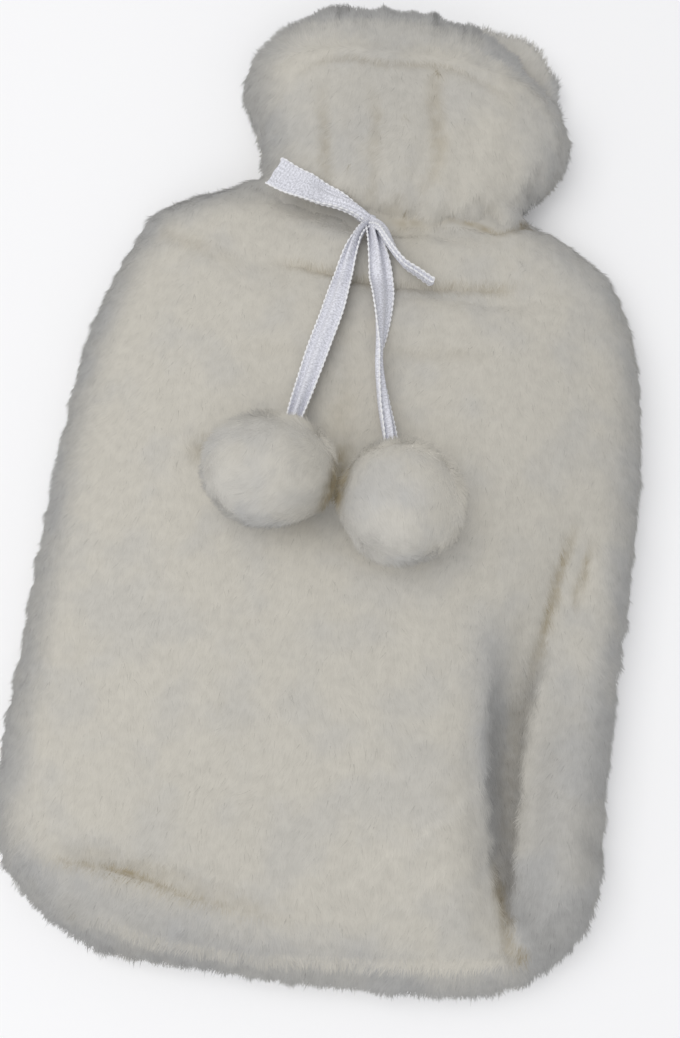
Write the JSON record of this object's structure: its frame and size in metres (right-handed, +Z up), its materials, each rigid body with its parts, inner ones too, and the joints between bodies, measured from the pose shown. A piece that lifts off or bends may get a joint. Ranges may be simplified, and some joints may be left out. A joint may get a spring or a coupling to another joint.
{
  "type": "hot water bottle cover",
  "caption": "Faux-fur hot water bottle cover lying on its back, drawn in at the neck by a satin ribbon tied in a bow with fur pompoms.",
  "frame": {"origin": "centre of the cover's bounding box seen from above, on the surface that it lies on", "axes": "+Y from the bottom seam to the mouth, +Z up out of the front panel, +X to the right seen from above"},
  "size_m": [0.2164, 0.3734, 0.0774],
  "materials": {
    "cream_fur": "matte short faux fur, cream",
    "back_fur": "matte short faux fur, cream",
    "pompom_fur": "matte fluffy faux fur, off-white",
    "white_satin": "satin ribbon, soft sheen"
  },
  "bodies": {
    "root": {"front_panel": "cream_fur", "back_panel": "back_fur", "ribbon_tie": "white_satin", "pompom_left": "pompom_fur", "pompom_right": "pompom_fur"}
  },
  "joints": []
}
